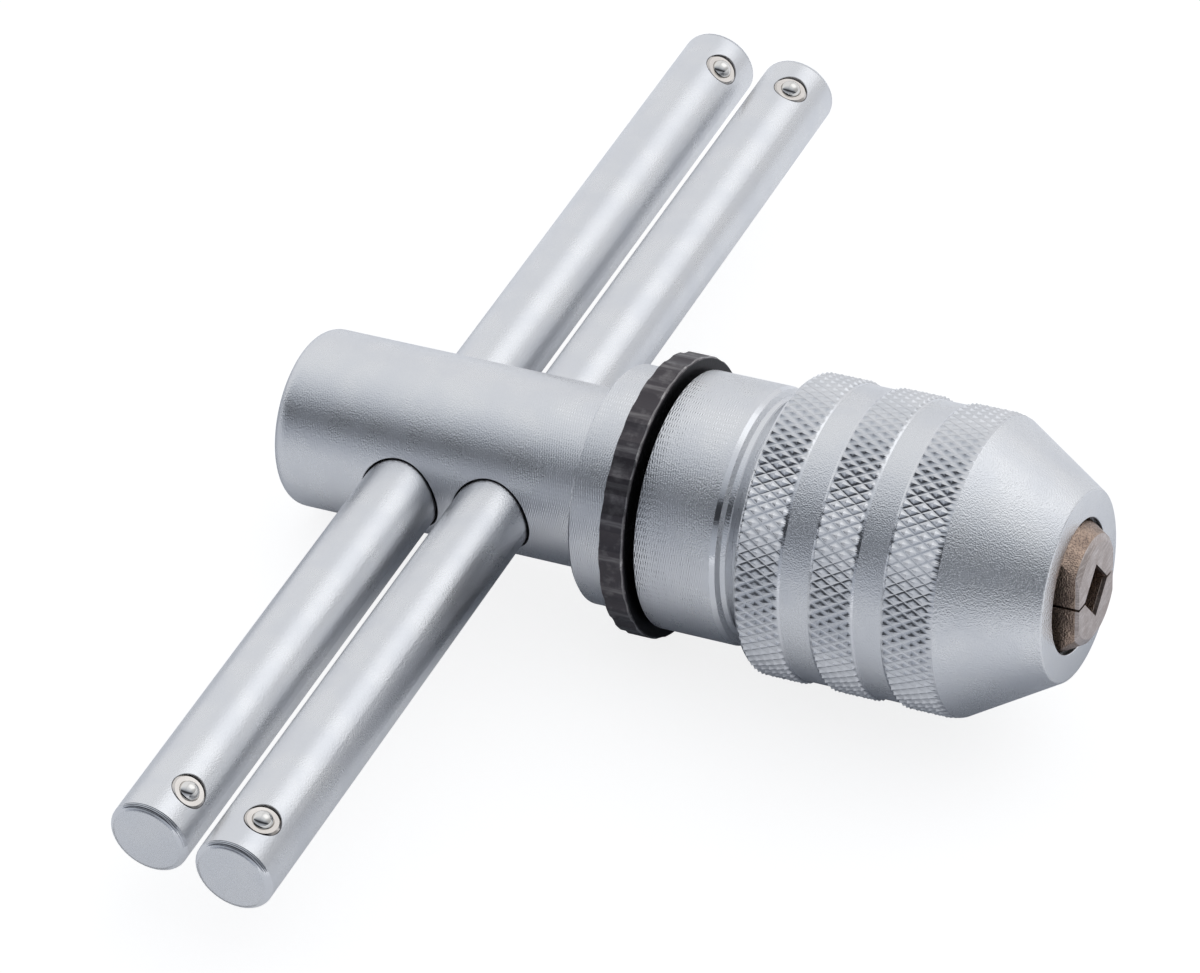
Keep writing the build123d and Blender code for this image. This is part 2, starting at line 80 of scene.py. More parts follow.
def add_node(tree, kind, inputs=None, **settings):
    """Add a node with its inputs; settings are its own properties."""
    made = tree.nodes.new(kind)
    for name, value in settings.items():
        setattr(made, name, value)
    fill_inputs(made, inputs or {})
    return made


def calc(tree, operation, *values):
    """One sum on numbers or sockets."""
    kind = "ShaderNodeMath"
    return add_node(tree, kind, dict(enumerate(values)), operation=operation).outputs[0]


def chain(tree, operation, values):
    """Several values joined by one sum, such as their product or the greatest of them."""
    result = values[0]
    for value in values[1:]:
        result = calc(tree, operation, result, value)
    return result


def ease(tree, value, start, end, low=0.0, high=1.0):
    """A smooth step from low to high while value goes from start to end."""
    inputs = {"Value": value, "From Min": start, "From Max": end, "To Min": low, "To Max": high}
    return add_node(tree, "ShaderNodeMapRange", inputs, interpolation_type="SMOOTHSTEP").outputs[0]


def between(tree, value, low, high, fade):
    """1 while a value lies between two limits, falling to 0 within fade outside them."""
    rising = ease(tree, value, low - fade, low)
    falling = ease(tree, value, high, high + fade, 1.0, 0.0)
    return calc(tree, "MULTIPLY", rising, falling)


def split(tree, point):
    """The three numbers of a point."""
    return add_node(tree, "ShaderNodeSeparateXYZ", {0: point}).outputs


def vector_sum(tree, operation, inputs):
    """One sum on vectors."""
    return add_node(tree, "ShaderNodeVectorMath", inputs, operation=operation).outputs


def new_group(name, inputs, outputs):
    """A shader node group with named sockets: its tree, its inputs and its outputs."""
    group = bpy.data.node_groups.new(name, "ShaderNodeTree")
    kinds = {"number": "NodeSocketFloat", "place": "NodeSocketVector"}
    for label, kind in inputs.items():
        group.interface.new_socket(label, in_out="INPUT", socket_type=kinds[kind])
    for label, kind in outputs.items():
        group.interface.new_socket(label, in_out="OUTPUT", socket_type=kinds[kind])
    start = group.nodes.new("NodeGroupInput")
    end = group.nodes.new("NodeGroupOutput")
    return group, start.outputs, end.inputs


def place_group(tree, group, inputs=None):
    """Place a shader node group in a material and return its outputs."""
    made = tree.nodes.new("ShaderNodeGroup")
    made.node_tree = group
    fill_inputs(made, inputs or {})
    return made.outputs


def place_on_tool():
    """Where a point lies on the turned tool: along its axis, out from it and round it, in millimetres."""
    group, _, ends = new_group("place on the tool", {}, {
        "Point": "place", "Along": "number", "Radius": "number", "Round": "number"})
    coordinates = add_node(group, "ShaderNodeTexCoord").outputs["Object"]
    from_start = vector_sum(group, "SUBTRACT", {0: coordinates, 1: tool_start})[0]
    in_mm = vector_sum(group, "SCALE", {0: from_start, 3: 1 / mm})[0]
    along, side, up = (vector_sum(group, "DOT_PRODUCT", {0: in_mm, 1: way})["Value"]
                       for way in (spindle_axis, side_way, up_way))
    point = add_node(group, "ShaderNodeCombineXYZ", {0: along, 1: side, 2: up}).outputs[0]
    squares = calc(group, "ADD", calc(group, "POWER", side, 2.0), calc(group, "POWER", up, 2.0))
    group.links.new(point, ends["Point"])
    group.links.new(along, ends["Along"])
    group.links.new(calc(group, "SQRT", squares), ends["Radius"])
    group.links.new(calc(group, "ARCTAN2", up, side), ends["Round"])
    return group


def grain_of_plating():
    """The pearly grain of satin chrome: a height in millimetres, its specks from 0 to 1 and a slow cloud."""
    group, starts, ends = new_group(
        "plated grain", {"Point": "place", "Grain": "number", "Height": "number"},
        {"Height": "number", "Speck": "number", "Cloud": "number"})
    point = starts["Point"]
    scale = calc(group, "DIVIDE", 1.0, starts["Grain"])
    fine = add_node(group, "ShaderNodeTexVoronoi", {"Vector": point, "Scale": scale}).outputs["Distance"]
    cloud = add_node(group, "ShaderNodeTexNoise", {"Vector": point, "Scale": 0.16, "Detail": 3.0}).outputs[0]
    group.links.new(calc(group, "MULTIPLY", fine, starts["Height"]), ends["Height"])
    group.links.new(ease(group, fine, 0.25, 0.65), ends["Speck"])
    group.links.new(ease(group, cloud, 0.35, 0.65), ends["Cloud"])
    return group


def marks_of_turning():
    """Fine grooves left by the turning tool; its chatter breaks them into rows of short strokes."""
    group, starts, ends = new_group("turning marks", {
        "Along": "number", "Round": "number", "Pitch": "number", "Dashes": "number", "Height": "number"},
        {"Height": "number"})
    turns = calc(group, "DIVIDE", starts["Along"], starts["Pitch"])
    wave = calc(group, "SINE", calc(group, "MULTIPLY", turns, 2 * pi))
    chatter = calc(group, "SINE", calc(group, "MULTIPLY", starts["Round"], starts["Dashes"]))
    uneven = add_node(group, "ShaderNodeTexNoise", {"W": turns, "Scale": 0.37, "Detail": 1.0},
                      noise_dimensions="1D").outputs[0]
    depth = calc(group, "MULTIPLY_ADD", uneven, 0.5, 0.25)
    depth = calc(group, "MULTIPLY", depth, calc(group, "MULTIPLY", chatter, starts["Height"]))
    group.links.new(calc(group, "MULTIPLY", wave, depth), ends["Height"])
    return group


tool_place = place_on_tool()
plated_grain = grain_of_plating()
turning_marks = marks_of_turning()


def metal(name, colour, roughness):
    """A metal's material: the material, its tree, its main shader and the place of a point on the tool."""
    made = bpy.data.materials.new(name)
    made.use_nodes = True
    shader = made.node_tree.nodes["Principled BSDF"]
    shader.inputs["Base Color"].default_value = (*colour, 1)
    shader.inputs["Roughness"].default_value = roughness
    shader.inputs["Metallic"].default_value = 1.0
    return made, made.node_tree, shader, place_group(made.node_tree, tool_place)


def blend_colours(tree, factor, low, high):
    """A colour between two colours or sockets, by a factor from 0 to 1."""
    low, high = (end if isinstance(end, bpy.types.NodeSocket) else (*end, 1) for end in (low, high))
    return add_node(tree, "ShaderNodeMix", {"Factor": factor, 6: low, 7: high}, data_type="RGBA").outputs[2]


def finish_metal(tree, shader, colour, height, roughness=None):
    """Give a metal its colour, its relief in millimetres and, where it changes, its roughness."""
    bump = add_node(tree, "ShaderNodeBump", {"Height": height, "Distance": mm, "Strength": 1.0})
    tree.links.new(bump.outputs[0], shader.inputs["Normal"])
    tree.links.new(colour, shader.inputs["Base Color"])
    if roughness is not None:
        tree.links.new(roughness, shader.inputs["Roughness"])


mark_pitch = 0.38             # of the turning marks, along the axis
mark_height = 0.05
dashes_round = 60             # strokes that the chatter leaves in one turn
# Near black, for oil in joints and for painted shade round the tee body's bores
oil_and_shade_colour = (0.012, 0.011, 0.012)


def satin_chrome(name, dull=(0.755, 0.765, 0.785), bright=(0.785, 0.79, 0.80), roughness=(0.29, 0.33),
                 grain=0.26, grain_height=0.040, marks=None, polish=None, oil_and_shade=None, relief=None):
    """Satin chrome over turned steel.

    Marks, polish and oil_and_shade take (tree, place) and give where they show, from 0 to 1, and relief gives
    a height in millimetres. Oil_and_shade darkens the colour towards black: oil, and on the tee body painted
    shade."""
    made, tree, shader, place = metal(name, bright, roughness[0])
    grained = place_group(tree, plated_grain, {
        "Point": place["Point"], "Grain": grain, "Height": grain_height})
    height = grained["Height"]
    if marks:
        turned = place_group(tree, turning_marks, {
            "Along": place["Along"], "Round": place["Round"], "Pitch": mark_pitch, "Dashes": dashes_round,
            "Height": mark_height})["Height"]
        height = calc(tree, "MULTIPLY_ADD", turned, marks(tree, place), height)
    colour = blend_colours(tree, grained["Cloud"], dull, bright)
    rough = add_node(tree, "ShaderNodeMapRange", {
        "Value": grained["Cloud"], "To Min": roughness[1], "To Max": roughness[0]}).outputs[0]
    rough = calc(tree, "ADD", rough, ease(tree, grained["Speck"], 0.0, 1.0, -0.03, 0.03))
    if polish:
        # A rubbed place keeps little of the grain and is less rough
        shine = polish(tree, place)
        grain_left = calc(tree, "SUBTRACT", 1.0, calc(tree, "MULTIPLY", shine, 0.85))
        height = calc(tree, "MULTIPLY", height, grain_left)
        rough = calc(tree, "SUBTRACT", rough, calc(tree, "MULTIPLY", shine, 0.24))
    # Oil, and on the tee body painted shade round the bores, darken the colour towards black
    if oil_and_shade:
        colour = blend_colours(tree, oil_and_shade(tree, place), colour, oil_and_shade_colour)
    if relief:
        height = calc(tree, "ADD", height, relief(tree, place))
    finish_metal(tree, shader, colour, height, rough)
    return made


def dress(piece, material):
    """Give a piece one material all over."""
    piece.data.materials.clear()
    piece.data.materials.append(material)
    for face in piece.data.polygons:
        face.material_index = 0


body_front = reach_along("tee_body", tool_start)[1]
flange_reach = 11.2           # from the flange's rear to the body's front
flange_rear = body_front - flange_reach
flange_radius = 18.0
marks_fade = (flange_rear - 16.0, flange_rear - 4.0)
bar_places = {"rear_slide_bar": 21.5, "front_slide_bar": 36.5}
bore_radius = 6.1


def body_marks(tree, place):
    """Turning marks that grow clear towards the flange."""
    return ease(tree, place["Along"], *marks_fade, 0.25, 1.0)


def flange_edges(tree, place):
    """The rounded rear edge of the flange, rubbed bright."""
    on_rim = ease(tree, place["Radius"], flange_radius - 0.42, flange_radius - 0.30)
    at_edge = between(tree, place["Along"], flange_rear - 0.1, flange_rear + 0.32, 0.06)
    return calc(tree, "MULTIPLY", on_rim, at_edge)


def bore_oil_and_painted_shade(tree, place):
    """Oil in the gap round each bar as a dark ring, and painted shade that widens it below and in front."""
    # Painted shade: the ring is drawn round a centre a little below and ahead of each bore's, so it is widest
    # there.
    below = calc(tree, "ADD", split(tree, place["Point"])["Z"], 0.04)
    from_bars = []
    for bar_place in bar_places.values():
        ahead = calc(tree, "SUBTRACT", place["Along"], bar_place + 0.05)
        squares = [calc(tree, "MULTIPLY", part, part) for part in (ahead, below)]
        from_bars.append(calc(tree, "SQRT", calc(tree, "ADD", *squares)))
    return ease(tree, chain(tree, "MINIMUM", from_bars), bore_radius + 0.16, bore_radius + 0.24, 1.0, 0.0)


dress(nodes["tee_body"], satin_chrome("chromed tee body", grain=0.25, grain_height=0.028, marks=body_marks,
                                      polish=flange_edges, oil_and_shade=bore_oil_and_painted_shade))

# Sliding bars: two ground steel rods, satin chromed, that slide through the cross bores.
# Their grain is finer than the body's; the edges of their ends are turned almost flat and rubbed bright.
# A thin dark line of oil stands in the joint between the bar and each ball's case.
case_radius = 2.6
end_rounding = 0.9            # of the edges of a bar's ends
end_flattening = 0.6          # how far the turning tool took that rounding to a bevel, from 0 to 1
ripple_height = 0.006         # of the marks that it left there


def bar_chrome(name, bar_place):
    """The chrome of one bar, with its bright end edges and the dark joints round its cases."""
    low_end, high_end = (corner[1] / mm - tool_start.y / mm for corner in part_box(name))
    middle, half_length = (low_end + high_end) / 2, (high_end - low_end) / 2

    def from_middle(tree, place):
        """How far a point lies from the bar's middle, along the bar."""
        side = split(tree, place["Point"])["Y"]
        return calc(tree, "ABSOLUTE", calc(tree, "SUBTRACT", side, middle))

    def rubbed_edges(tree, place):
        """The turned edges of both ends."""
        return between(tree, from_middle(tree, place), half_length - 0.80, half_length - 0.06, 0.08)

    def case_joints(tree, place):
        """A thin ring round each case, by the distance from the line that its ball is pressed along."""
        lines = []
        for end in ("near", "far"):
            ball = nodes[f"{name.split('_')[0]}_bar_{end}_ball"].data.vertices
            centre = tool_to_row.inverted() @ (sum((vertex.co for vertex in ball), Vector()) / len(ball)) / mm
            seat = Vector((bar_place, centre.y, 0))
            outward = (centre - seat).normalized()
            offset = vector_sum(tree, "SUBTRACT", {0: place["Point"], 1: seat})[0]
            turned = vector_sum(tree, "CROSS_PRODUCT", {0: offset, 1: outward})[0]
            away = vector_sum(tree, "LENGTH", {0: turned})["Value"]
            outer = ease(tree, away, case_radius + 0.09, case_radius + 0.14, 1.0, 0.0)
            inner = ease(tree, away, case_radius + 0.052, case_radius + 0.08, 0.35, 1.0)
            lines.append(calc(tree, "MULTIPLY", outer, inner))
        return chain(tree, "MAXIMUM", lines)

    def flattened_edges(tree, place):
        """Turns the rounding's normals part of the way to those of a bevel at 45 degrees, with a ripple."""
        into = calc(tree, "SUBTRACT", from_middle(tree, place), half_length - end_rounding)
        into = calc(tree, "MAXIMUM", calc(tree, "DIVIDE", into, end_rounding), 0.0)
        into = calc(tree, "MINIMUM", into, 0.999)
        from_bevel = calc(tree, "SUBTRACT", calc(tree, "ARCSINE", into), pi / 4)
        log_cosine = calc(tree, "LOGARITHM", calc(tree, "COSINE", from_bevel), e)
        bevelled = calc(tree, "MULTIPLY", log_cosine, -end_flattening * end_rounding)
        ripple = calc(tree, "MULTIPLY", calc(tree, "SINE", calc(tree, "MULTIPLY", into, 26.0)), ripple_height)
        return calc(tree, "ADD", bevelled, ripple)

    return satin_chrome(f"chromed {name}", grain=0.24, grain_height=0.024, polish=rubbed_edges,
                        oil_and_shade=case_joints, relief=flattened_edges)


for name, bar_place in bar_places.items():
    dress(nodes[name], bar_chrome(name, bar_place))


# Sprung balls: a polished steel ball near each end of each bar, held by the crimped lip of a pressed-in
# case of turned steel, with a wound spring under it. The cases are slightly yellow beside the chrome.
def polished_ball():
    """Bright steel with a faint cloud of wear."""
    made, tree, shader, place = metal("polished ball", (0.86, 0.84, 0.80), 0.05)
    worn = place_group(tree, plated_grain, {"Point": place["Point"], "Grain": 0.5, "Height": 0.0004})
    colour = blend_colours(tree, worn["Cloud"], (0.80, 0.78, 0.74), (0.88, 0.86, 0.83))
    finish_metal(tree, shader, colour, worn["Height"])
    return made


def turned_case():
    """Smooth turned steel, slightly yellow."""
    made, tree, shader, place = metal("ball case", (0.74, 0.70, 0.65), 0.2)
    worn = place_group(tree, plated_grain, {"Point": place["Point"], "Grain": 0.35, "Height": 0.006})
    colour = blend_colours(tree, worn["Cloud"], (0.62, 0.58, 0.54), (0.74, 0.70, 0.655))
    finish_metal(tree, shader, colour, worn["Height"], ease(tree, worn["Speck"], 0.0, 1.0, 0.07, 0.12))
    return made


def lines_of_brushing():
    """Straight fine lines, as grinding, drawing or brushing leaves: a value from 0 to 1."""
    group, starts, ends = new_group(
        "brushed lines", {"Across": "number", "Length": "number", "Spacing": "number", "Run": "number"},
        {"Lines": "number"})
    across = calc(group, "DIVIDE", starts["Across"], starts["Spacing"])
    length = calc(group, "DIVIDE", starts["Length"], starts["Run"])
    point = add_node(group, "ShaderNodeCombineXYZ", {0: across, 1: length}).outputs[0]
    lines = add_node(group, "ShaderNodeTexNoise", {"Vector": point, "Scale": 1.0, "Detail": 3.0},
                     noise_dimensions="2D").outputs[0]
    group.links.new(ease(group, lines, 0.30, 0.70), ends["Lines"])
    return group


brushed_lines = lines_of_brushing()


def lined_steel(name, dark, light, across, spacing, run, roughness):
    """Steel with straight fine lines across one way of the tool, for wire, pins and ground faces."""
    made, tree, shader, place = metal(name, light, roughness)
    lines = place_group(tree, brushed_lines, {
        "Across": split(tree, place["Point"])[across], "Length": place["Along"], "Spacing": spacing,
        "Run": run})["Lines"]
    colour = blend_colours(tree, lines, dark, light)
    rough = ease(tree, lines, 0.0, 1.0, roughness + 0.08, roughness - 0.04)
    finish_metal(tree, shader, colour, calc(tree, "MULTIPLY", lines, 0.004), rough)
    return made


ball_steel = polished_ball()
case_metal = turned_case()
spring_wire = lined_steel("spring wire", (0.26, 0.25, 0.25), (0.42, 0.41, 0.40), "Y", 0.06, 1.5, 0.35)
for bar in ("rear", "front"):
    for end in ("near", "far"):
        dress(nodes[f"{bar}_bar_{end}_ball"], ball_steel)
        dress(nodes[f"{bar}_bar_{end}_case"], case_metal)
        dress(nodes[f"{bar}_bar_{end}_spring"], spring_wire)

# Selector ring: a scalloped steel ring, blackened in hot salts, that rocks the pawl over. Fingers have
# worn the black to grey on the crests between the scallops and in patches, and its front edge to steel.
# The clip that keeps it on its boss is of the same blackened steel.
ring_front = reach_along("selector_ring", tool_start)[1]
ring_radius = 21.1
scallops = 24
scallop_turn = radians(3.3)   # of the first crest, from the top
# The darker black is painted shade on the faces that lie inside the ring's outer surface
inner_painted_shade_black = (0.02, 0.019, 0.021)
outer_black = (0.088, 0.080, 0.086)
bare_steel = (0.52, 0.50, 0.49)


def blackened_ring():
    """Black oxide, rubbed by fingers in short strokes along the axis."""
    made, tree, shader, place = metal("blackened ring", (0.08, 0.075, 0.08), 0.42)
    ways = split(tree, place["Point"])
    from_top = calc(tree, "ARCTAN2", calc(tree, "MULTIPLY", ways["Y"], -1.0), ways["Z"])
    scallop = calc(tree, "MULTIPLY", calc(tree, "SUBTRACT", from_top, scallop_turn), scallops / 2)
    crest = ease(tree, calc(tree, "ABSOLUTE", calc(tree, "COSINE", scallop)), 0.95, 0.995)
    rub = place_group(tree, brushed_lines, {
        "Across": calc(tree, "MULTIPLY", place["Round"], ring_radius), "Length": place["Along"],
        "Spacing": 0.35, "Run": 2.6})["Lines"]
    patch = add_node(tree, "ShaderNodeTexNoise", {
        "Vector": place["Point"], "Scale": 0.33, "Detail": 4.0, "Roughness": 0.65}).outputs[0]
    patch = calc(tree, "MULTIPLY", ease(tree, patch, 0.46, 0.70), calc(tree, "MULTIPLY_ADD", rub, 0.35, 0.65))
    front_edge = between(tree, place["Along"], ring_front - 0.34, ring_front - 0.14, 0.05)
    front_edge = calc(tree, "MULTIPLY", front_edge, ease(tree, patch, 0.0, 0.5, 0.45, 1.0))
    outside = ease(tree, place["Radius"], ring_radius - 0.34, ring_radius - 0.26)
    worn = chain(tree, "MAXIMUM", (
        calc(tree, "MULTIPLY", crest, calc(tree, "MULTIPLY_ADD", rub, 0.15, 0.12)),
        calc(tree, "MULTIPLY", patch, 0.26),
        calc(tree, "MULTIPLY", front_edge, 0.85)))
    worn = calc(tree, "MULTIPLY", worn, outside)
    # Everything more than about 0.3 mm inside the outer radius, such as the front face by the spindle, gets a
    # darker black: painted shade
    black = blend_colours(tree, outside, inner_painted_shade_black, outer_black)
    colour = blend_colours(tree, worn, black, bare_steel)
    roughness = ease(tree, worn, 0.0, 0.7, 0.42, 0.26)
    finish_metal(tree, shader, colour, calc(tree, "MULTIPLY", rub, 0.006), roughness)
    return made


ring_black = blackened_ring()
for name in ("selector_ring", "selector_clip"):
    dress(nodes[name], ring_black)

# Ratchet: the rocking pawl, its pin, the snap ring and the sprung ball, of hardened and ground steel.
# They lie inside the body and the ring, with the wound springs of the ring and of the jaws.
hard_steel = lined_steel("hardened steel", (0.36, 0.35, 0.34), (0.50, 0.49, 0.47), "Z", 0.12, 4.0, 0.28)
for name in ("reversing_pawl", "pawl_pin", "spindle_snap_ring", "pressure_ring", "selector_ball"):
    dress(nodes[name], hard_steel)
for name in ("selector_spring", "left_jaw_spring", "right_jaw_spring"):
    dress(nodes[name], spring_wire)

# Spindle: turned from one bar, with the ratchet's teeth behind and the chuck's thread in front. Only the
# large plain cylinder shows, satin chromed over its turning marks, with a bright bevel and land in front.
spindle_gap = 0.15            # between the body and the cylinder
cylinder_length = 13.15
spindle_face = body_front + spindle_gap + cylinder_length
bevel_end = spindle_face - 0.5
bevel_start = bevel_end - 0.8
land_front = spindle_face + 0.95


def spindle_marks(tree, place):
    """Turning marks as far as the bevel."""
    return ease(tree, place["Along"], bevel_start - 1.4, bevel_start - 0.5, 1.0, 0.0)


def bright_bevel(tree, place):
    """The bevel and, less bright, the land in front of it."""
    bevel = between(tree, place["Along"], bevel_start + 0.03, bevel_end - 0.03, 0.04)
    land = between(tree, place["Along"], spindle_face + 0.03, land_front, 0.05)
    return calc(tree, "MAXIMUM", bevel, calc(tree, "MULTIPLY", land, 0.6))


dress(nodes["spindle"], satin_chrome("chromed spindle", marks=spindle_marks, polish=bright_bevel))

# Jaws: two halves of one hardened cone, brown from the heat of hardening and dusty with fine pits.
# Their front faces and bevels are ground to pale bare steel.
jaw_front = reach_along("upper_jaw", tool_start)[1]
jaw_bevel = 0.6


def hardened_jaw():
    """Brown pitted steel on the cone and pale ground steel in front."""
    made, tree, shader, place = metal("jaw steel", (0.40, 0.30, 0.23), 0.34)
    ways = split(tree, place["Point"])
    pits = place_group(tree, plated_grain, {"Point": place["Point"], "Grain": 0.26, "Height": 0.065})
    ground = place_group(tree, brushed_lines, {
        "Across": ways["Z"], "Length": ways["Y"], "Spacing": 0.22, "Run": 3.0})["Lines"]
    stain = add_node(tree, "ShaderNodeTexNoise", {"Vector": place["Point"], "Scale": 0.42, "Detail": 4.0})
    stain = ease(tree, stain.outputs[0], 0.36, 0.64)
    dust = calc(tree, "MULTIPLY_ADD", pits["Speck"], 0.6, calc(tree, "MULTIPLY", stain, 0.4))
    cone_colour = blend_colours(tree, dust, (0.17, 0.128, 0.11), (0.52, 0.385, 0.30))
    face_colour = blend_colours(tree, calc(tree, "MULTIPLY", dust, ground),
                                (0.46, 0.395, 0.365), (0.70, 0.63, 0.60))
    is_front = ease(tree, place["Along"], jaw_front - jaw_bevel - 0.06, jaw_front - jaw_bevel + 0.02)
    is_face = ease(tree, place["Along"], jaw_front - 0.06, jaw_front - 0.02)
    pits_left = calc(tree, "SUBTRACT", 1.0, calc(tree, "MULTIPLY", is_front, 0.8))
    pitted = calc(tree, "MULTIPLY", pits["Height"], pits_left)
    ground_height = chain(tree, "MULTIPLY", (ground, is_face, 0.006))
    colour = blend_colours(tree, is_front, cone_colour, face_colour)
    roughness = ease(tree, stain, 0.0, 1.0, 0.42, 0.30)
    finish_metal(tree, shader, colour, calc(tree, "ADD", pitted, ground_height), roughness)
    return made


jaw_steel = hardened_jaw()
for name in ("upper_jaw", "lower_jaw"):
    dress(nodes[name], jaw_steel)

# Chuck sleeve: turned from steel, with three knurled bands, two plain grooves and a conical nose.
# The two wheels of the knurling tool press crossed grooves at 30 degrees, so each diamond is a small
# pyramid; the plain grooves and the nose are turned afterwards and cut the diamonds off.
sleeve_rear, nose_face = reach_along("chuck_sleeve", tool_start)
sleeve_radius = 22.5
rear_radius = 21.9            # of the rear face, inside its bevel
groove_depth = 0.55
groove_floor = sleeve_radius - groove_depth
groove_1 = (sleeve_rear + 7.2, sleeve_rear + 11.6)
groove_2 = (sleeve_rear + 18.6, sleeve_rear + 22.8)
corner_width = 0.04           # of the small step at each corner of a groove's floor
corner_rise = 0.02
bevel = 0.28                  # turned on both edges of a groove, along the axis
diamonds_round = 86
diamond_length = 2.85         # along the axis
half_diamond = diamond_length / 2
knurl_depth = 0.42
knurl_sharpness = 1.5         # 1 for plain pyramids, more for narrow peaks over broad valleys
valley_radius = sleeve_radius - knurl_depth
run_in = 0.30                 # from a bevel to the first full row of diamonds
steps = 4                     # of the mesh, in half a diamond
points_round = 2 * diamonds_round * steps
same_point = 0.0005           # points nearer than this are one
nose_length = 14.0
nose_radius = 14.2
nose_slope = (sleeve_radius - nose_radius) / nose_length
shoulder = nose_face - nose_length
shoulder_foot = shoulder + knurl_depth / nose_slope
knurl_overrun = 0.25          # of the last band, past the shoulder
foot_width = 0.3              # of the narrow ring with which the cone starts
edge_radius = 0.5             # of the rounding round the nose's face
edge_lift = 0.21              # of its centre, so that it meets the cone
edge_turn = 59.3              # its angle there, in degrees from the axis
mouth_radius = 10.05
mouth_bevel = 0.1
mouth_depth = 2.45
seat_place = nose_face - mouth_depth
seat_radius, thread_radius = 11.0, 16.45
bore_slope = tan(radians(30))
thread_end = seat_place - (thread_radius - seat_radius) / bore_slope


def knurl_tree(material):
    """Geometry nodes that roll one knurled band: a grid bent round the axis, with pyramids by formula."""
    tree = bpy.data.node_groups.new("knurled band", "GeometryNodeTree")
    tree.interface.new_socket("Geometry", in_out="OUTPUT", socket_type="NodeSocketGeometry")
    tree.interface.new_socket("Geometry", in_out="INPUT", socket_type="NodeSocketGeometry")
    for label in ("Diamonds Round", "Steps", "Rows"):
        tree.interface.new_socket(label, in_out="INPUT", socket_type="NodeSocketInt")
    for label in ("Half Length", "Knurl End", "Start", "Crown Radius", "Depth", "Sharpness", "Foot Along",
                  "Front Along", "End Radius"):
        tree.interface.new_socket(label, in_out="INPUT", socket_type="NodeSocketFloat")
    given = tree.nodes.new("NodeGroupInput").outputs

    # The grid, and each of its points' row along the axis and column round it
    columns = calc(tree, "ADD", chain(tree, "MULTIPLY", (given["Diamonds Round"], 2.0, given["Steps"])), 1.0)
    last_row = calc(tree, "ADD", given["Rows"], 2.0)
    rows = calc(tree, "ADD", last_row, 1.0)
    grid = add_node(tree, "GeometryNodeMeshGrid", {"Vertices X": rows, "Vertices Y": columns})
    index = tree.nodes.new("GeometryNodeInputIndex").outputs[0]
    row = calc(tree, "FLOOR", calc(tree, "DIVIDE", calc(tree, "ADD", index, 0.5), columns))
    column = calc(tree, "SUBTRACT", index, calc(tree, "MULTIPLY", row, columns))

    # How far a point lies from the two crossed grooves, in half diamonds, and so how deep
    across = calc(tree, "DIVIDE", column, given["Steps"])
    down = calc(tree, "DIVIDE", calc(tree, "SUBTRACT", row, 1.0), given["Steps"])
    down = calc(tree, "MINIMUM", down, given["Knurl End"])
    one = calc(tree, "PINGPONG", calc(tree, "ADD", across, down), 1.0)
    other = calc(tree, "PINGPONG", calc(tree, "SUBTRACT", across, down), 1.0)
    to_valley = calc(tree, "SUBTRACT", 1.0, calc(tree, "MAXIMUM", one, other))
    peak = calc(tree, "POWER", to_valley, given["Sharpness"])
    drop = calc(tree, "MULTIPLY", calc(tree, "SUBTRACT", 1.0, peak), given["Depth"])
    along = calc(tree, "MULTIPLY_ADD", down, given["Half Length"], given["Start"])
    radius = calc(tree, "SUBTRACT", given["Crown Radius"], drop)

    # The first and last rows are plain rings that meet the bevels
    first = calc(tree, "LESS_THAN", row, 0.5)
    last = calc(tree, "GREATER_THAN", row, calc(tree, "SUBTRACT", last_row, 0.5))
    for is_end, end_along in ((first, given["Foot Along"]), (last, given["Front Along"])):
        choices = []
        for value, end_value in ((along, end_along), (radius, given["End Radius"])):
            choice = add_node(tree, "ShaderNodeMix", {"Factor": is_end, 2: value, 3: end_value},
                              data_type="FLOAT")
            choices.append(choice.outputs[0])
        along, radius = choices
    turn = calc(tree, "DIVIDE", calc(tree, "MULTIPLY", across, pi), given["Diamonds Round"])
    place = add_node(tree, "ShaderNodeCombineXYZ", {
        0: along, 1: calc(tree, "MULTIPLY", radius, calc(tree, "COSINE", turn)),
        2: calc(tree, "MULTIPLY", radius, calc(tree, "SINE", turn))}).outputs[0]
    bent = add_node(tree, "GeometryNodeSetPosition", {"Geometry": grid.outputs["Mesh"], "Position": place})
    closed = add_node(tree, "GeometryNodeMergeByDistance", {0: bent.outputs[0], "Distance": same_point})
    cut = add_node(tree, "GeometryNodeTriangulate", {0: closed.outputs[0]}, quad_method="SHORTEST_DIAGONAL")
    real = add_node(tree, "GeometryNodeRealizeInstances", {0: cut.outputs[0]})
    finished = add_node(tree, "GeometryNodeSetMaterial", {0: real.outputs[0], "Material": material})
    tree.links.new(finished.outputs[0], tree.nodes.new("NodeGroupOutput").inputs[0])
    return tree


def run_tree(tree, values):
    """The plain mesh that a tree of geometry nodes makes with these input values."""
    holder = bpy.data.objects.new("holder", bpy.data.meshes.new("holder"))
    bpy.context.scene.collection.objects.link(holder)
    modifier = holder.modifiers.new("nodes", "NODES")
    modifier.node_group = tree
    sockets = {item.name: item.identifier for item in tree.interface.items_tree if item.in_out == "INPUT"}
    for name, value in values.items():
        modifier[sockets[name]] = value
    evaluated = holder.evaluated_get(bpy.context.evaluated_depsgraph_get())
    made = bpy.data.meshes.new_from_object(evaluated)
    bpy.data.objects.remove(holder)
    return made


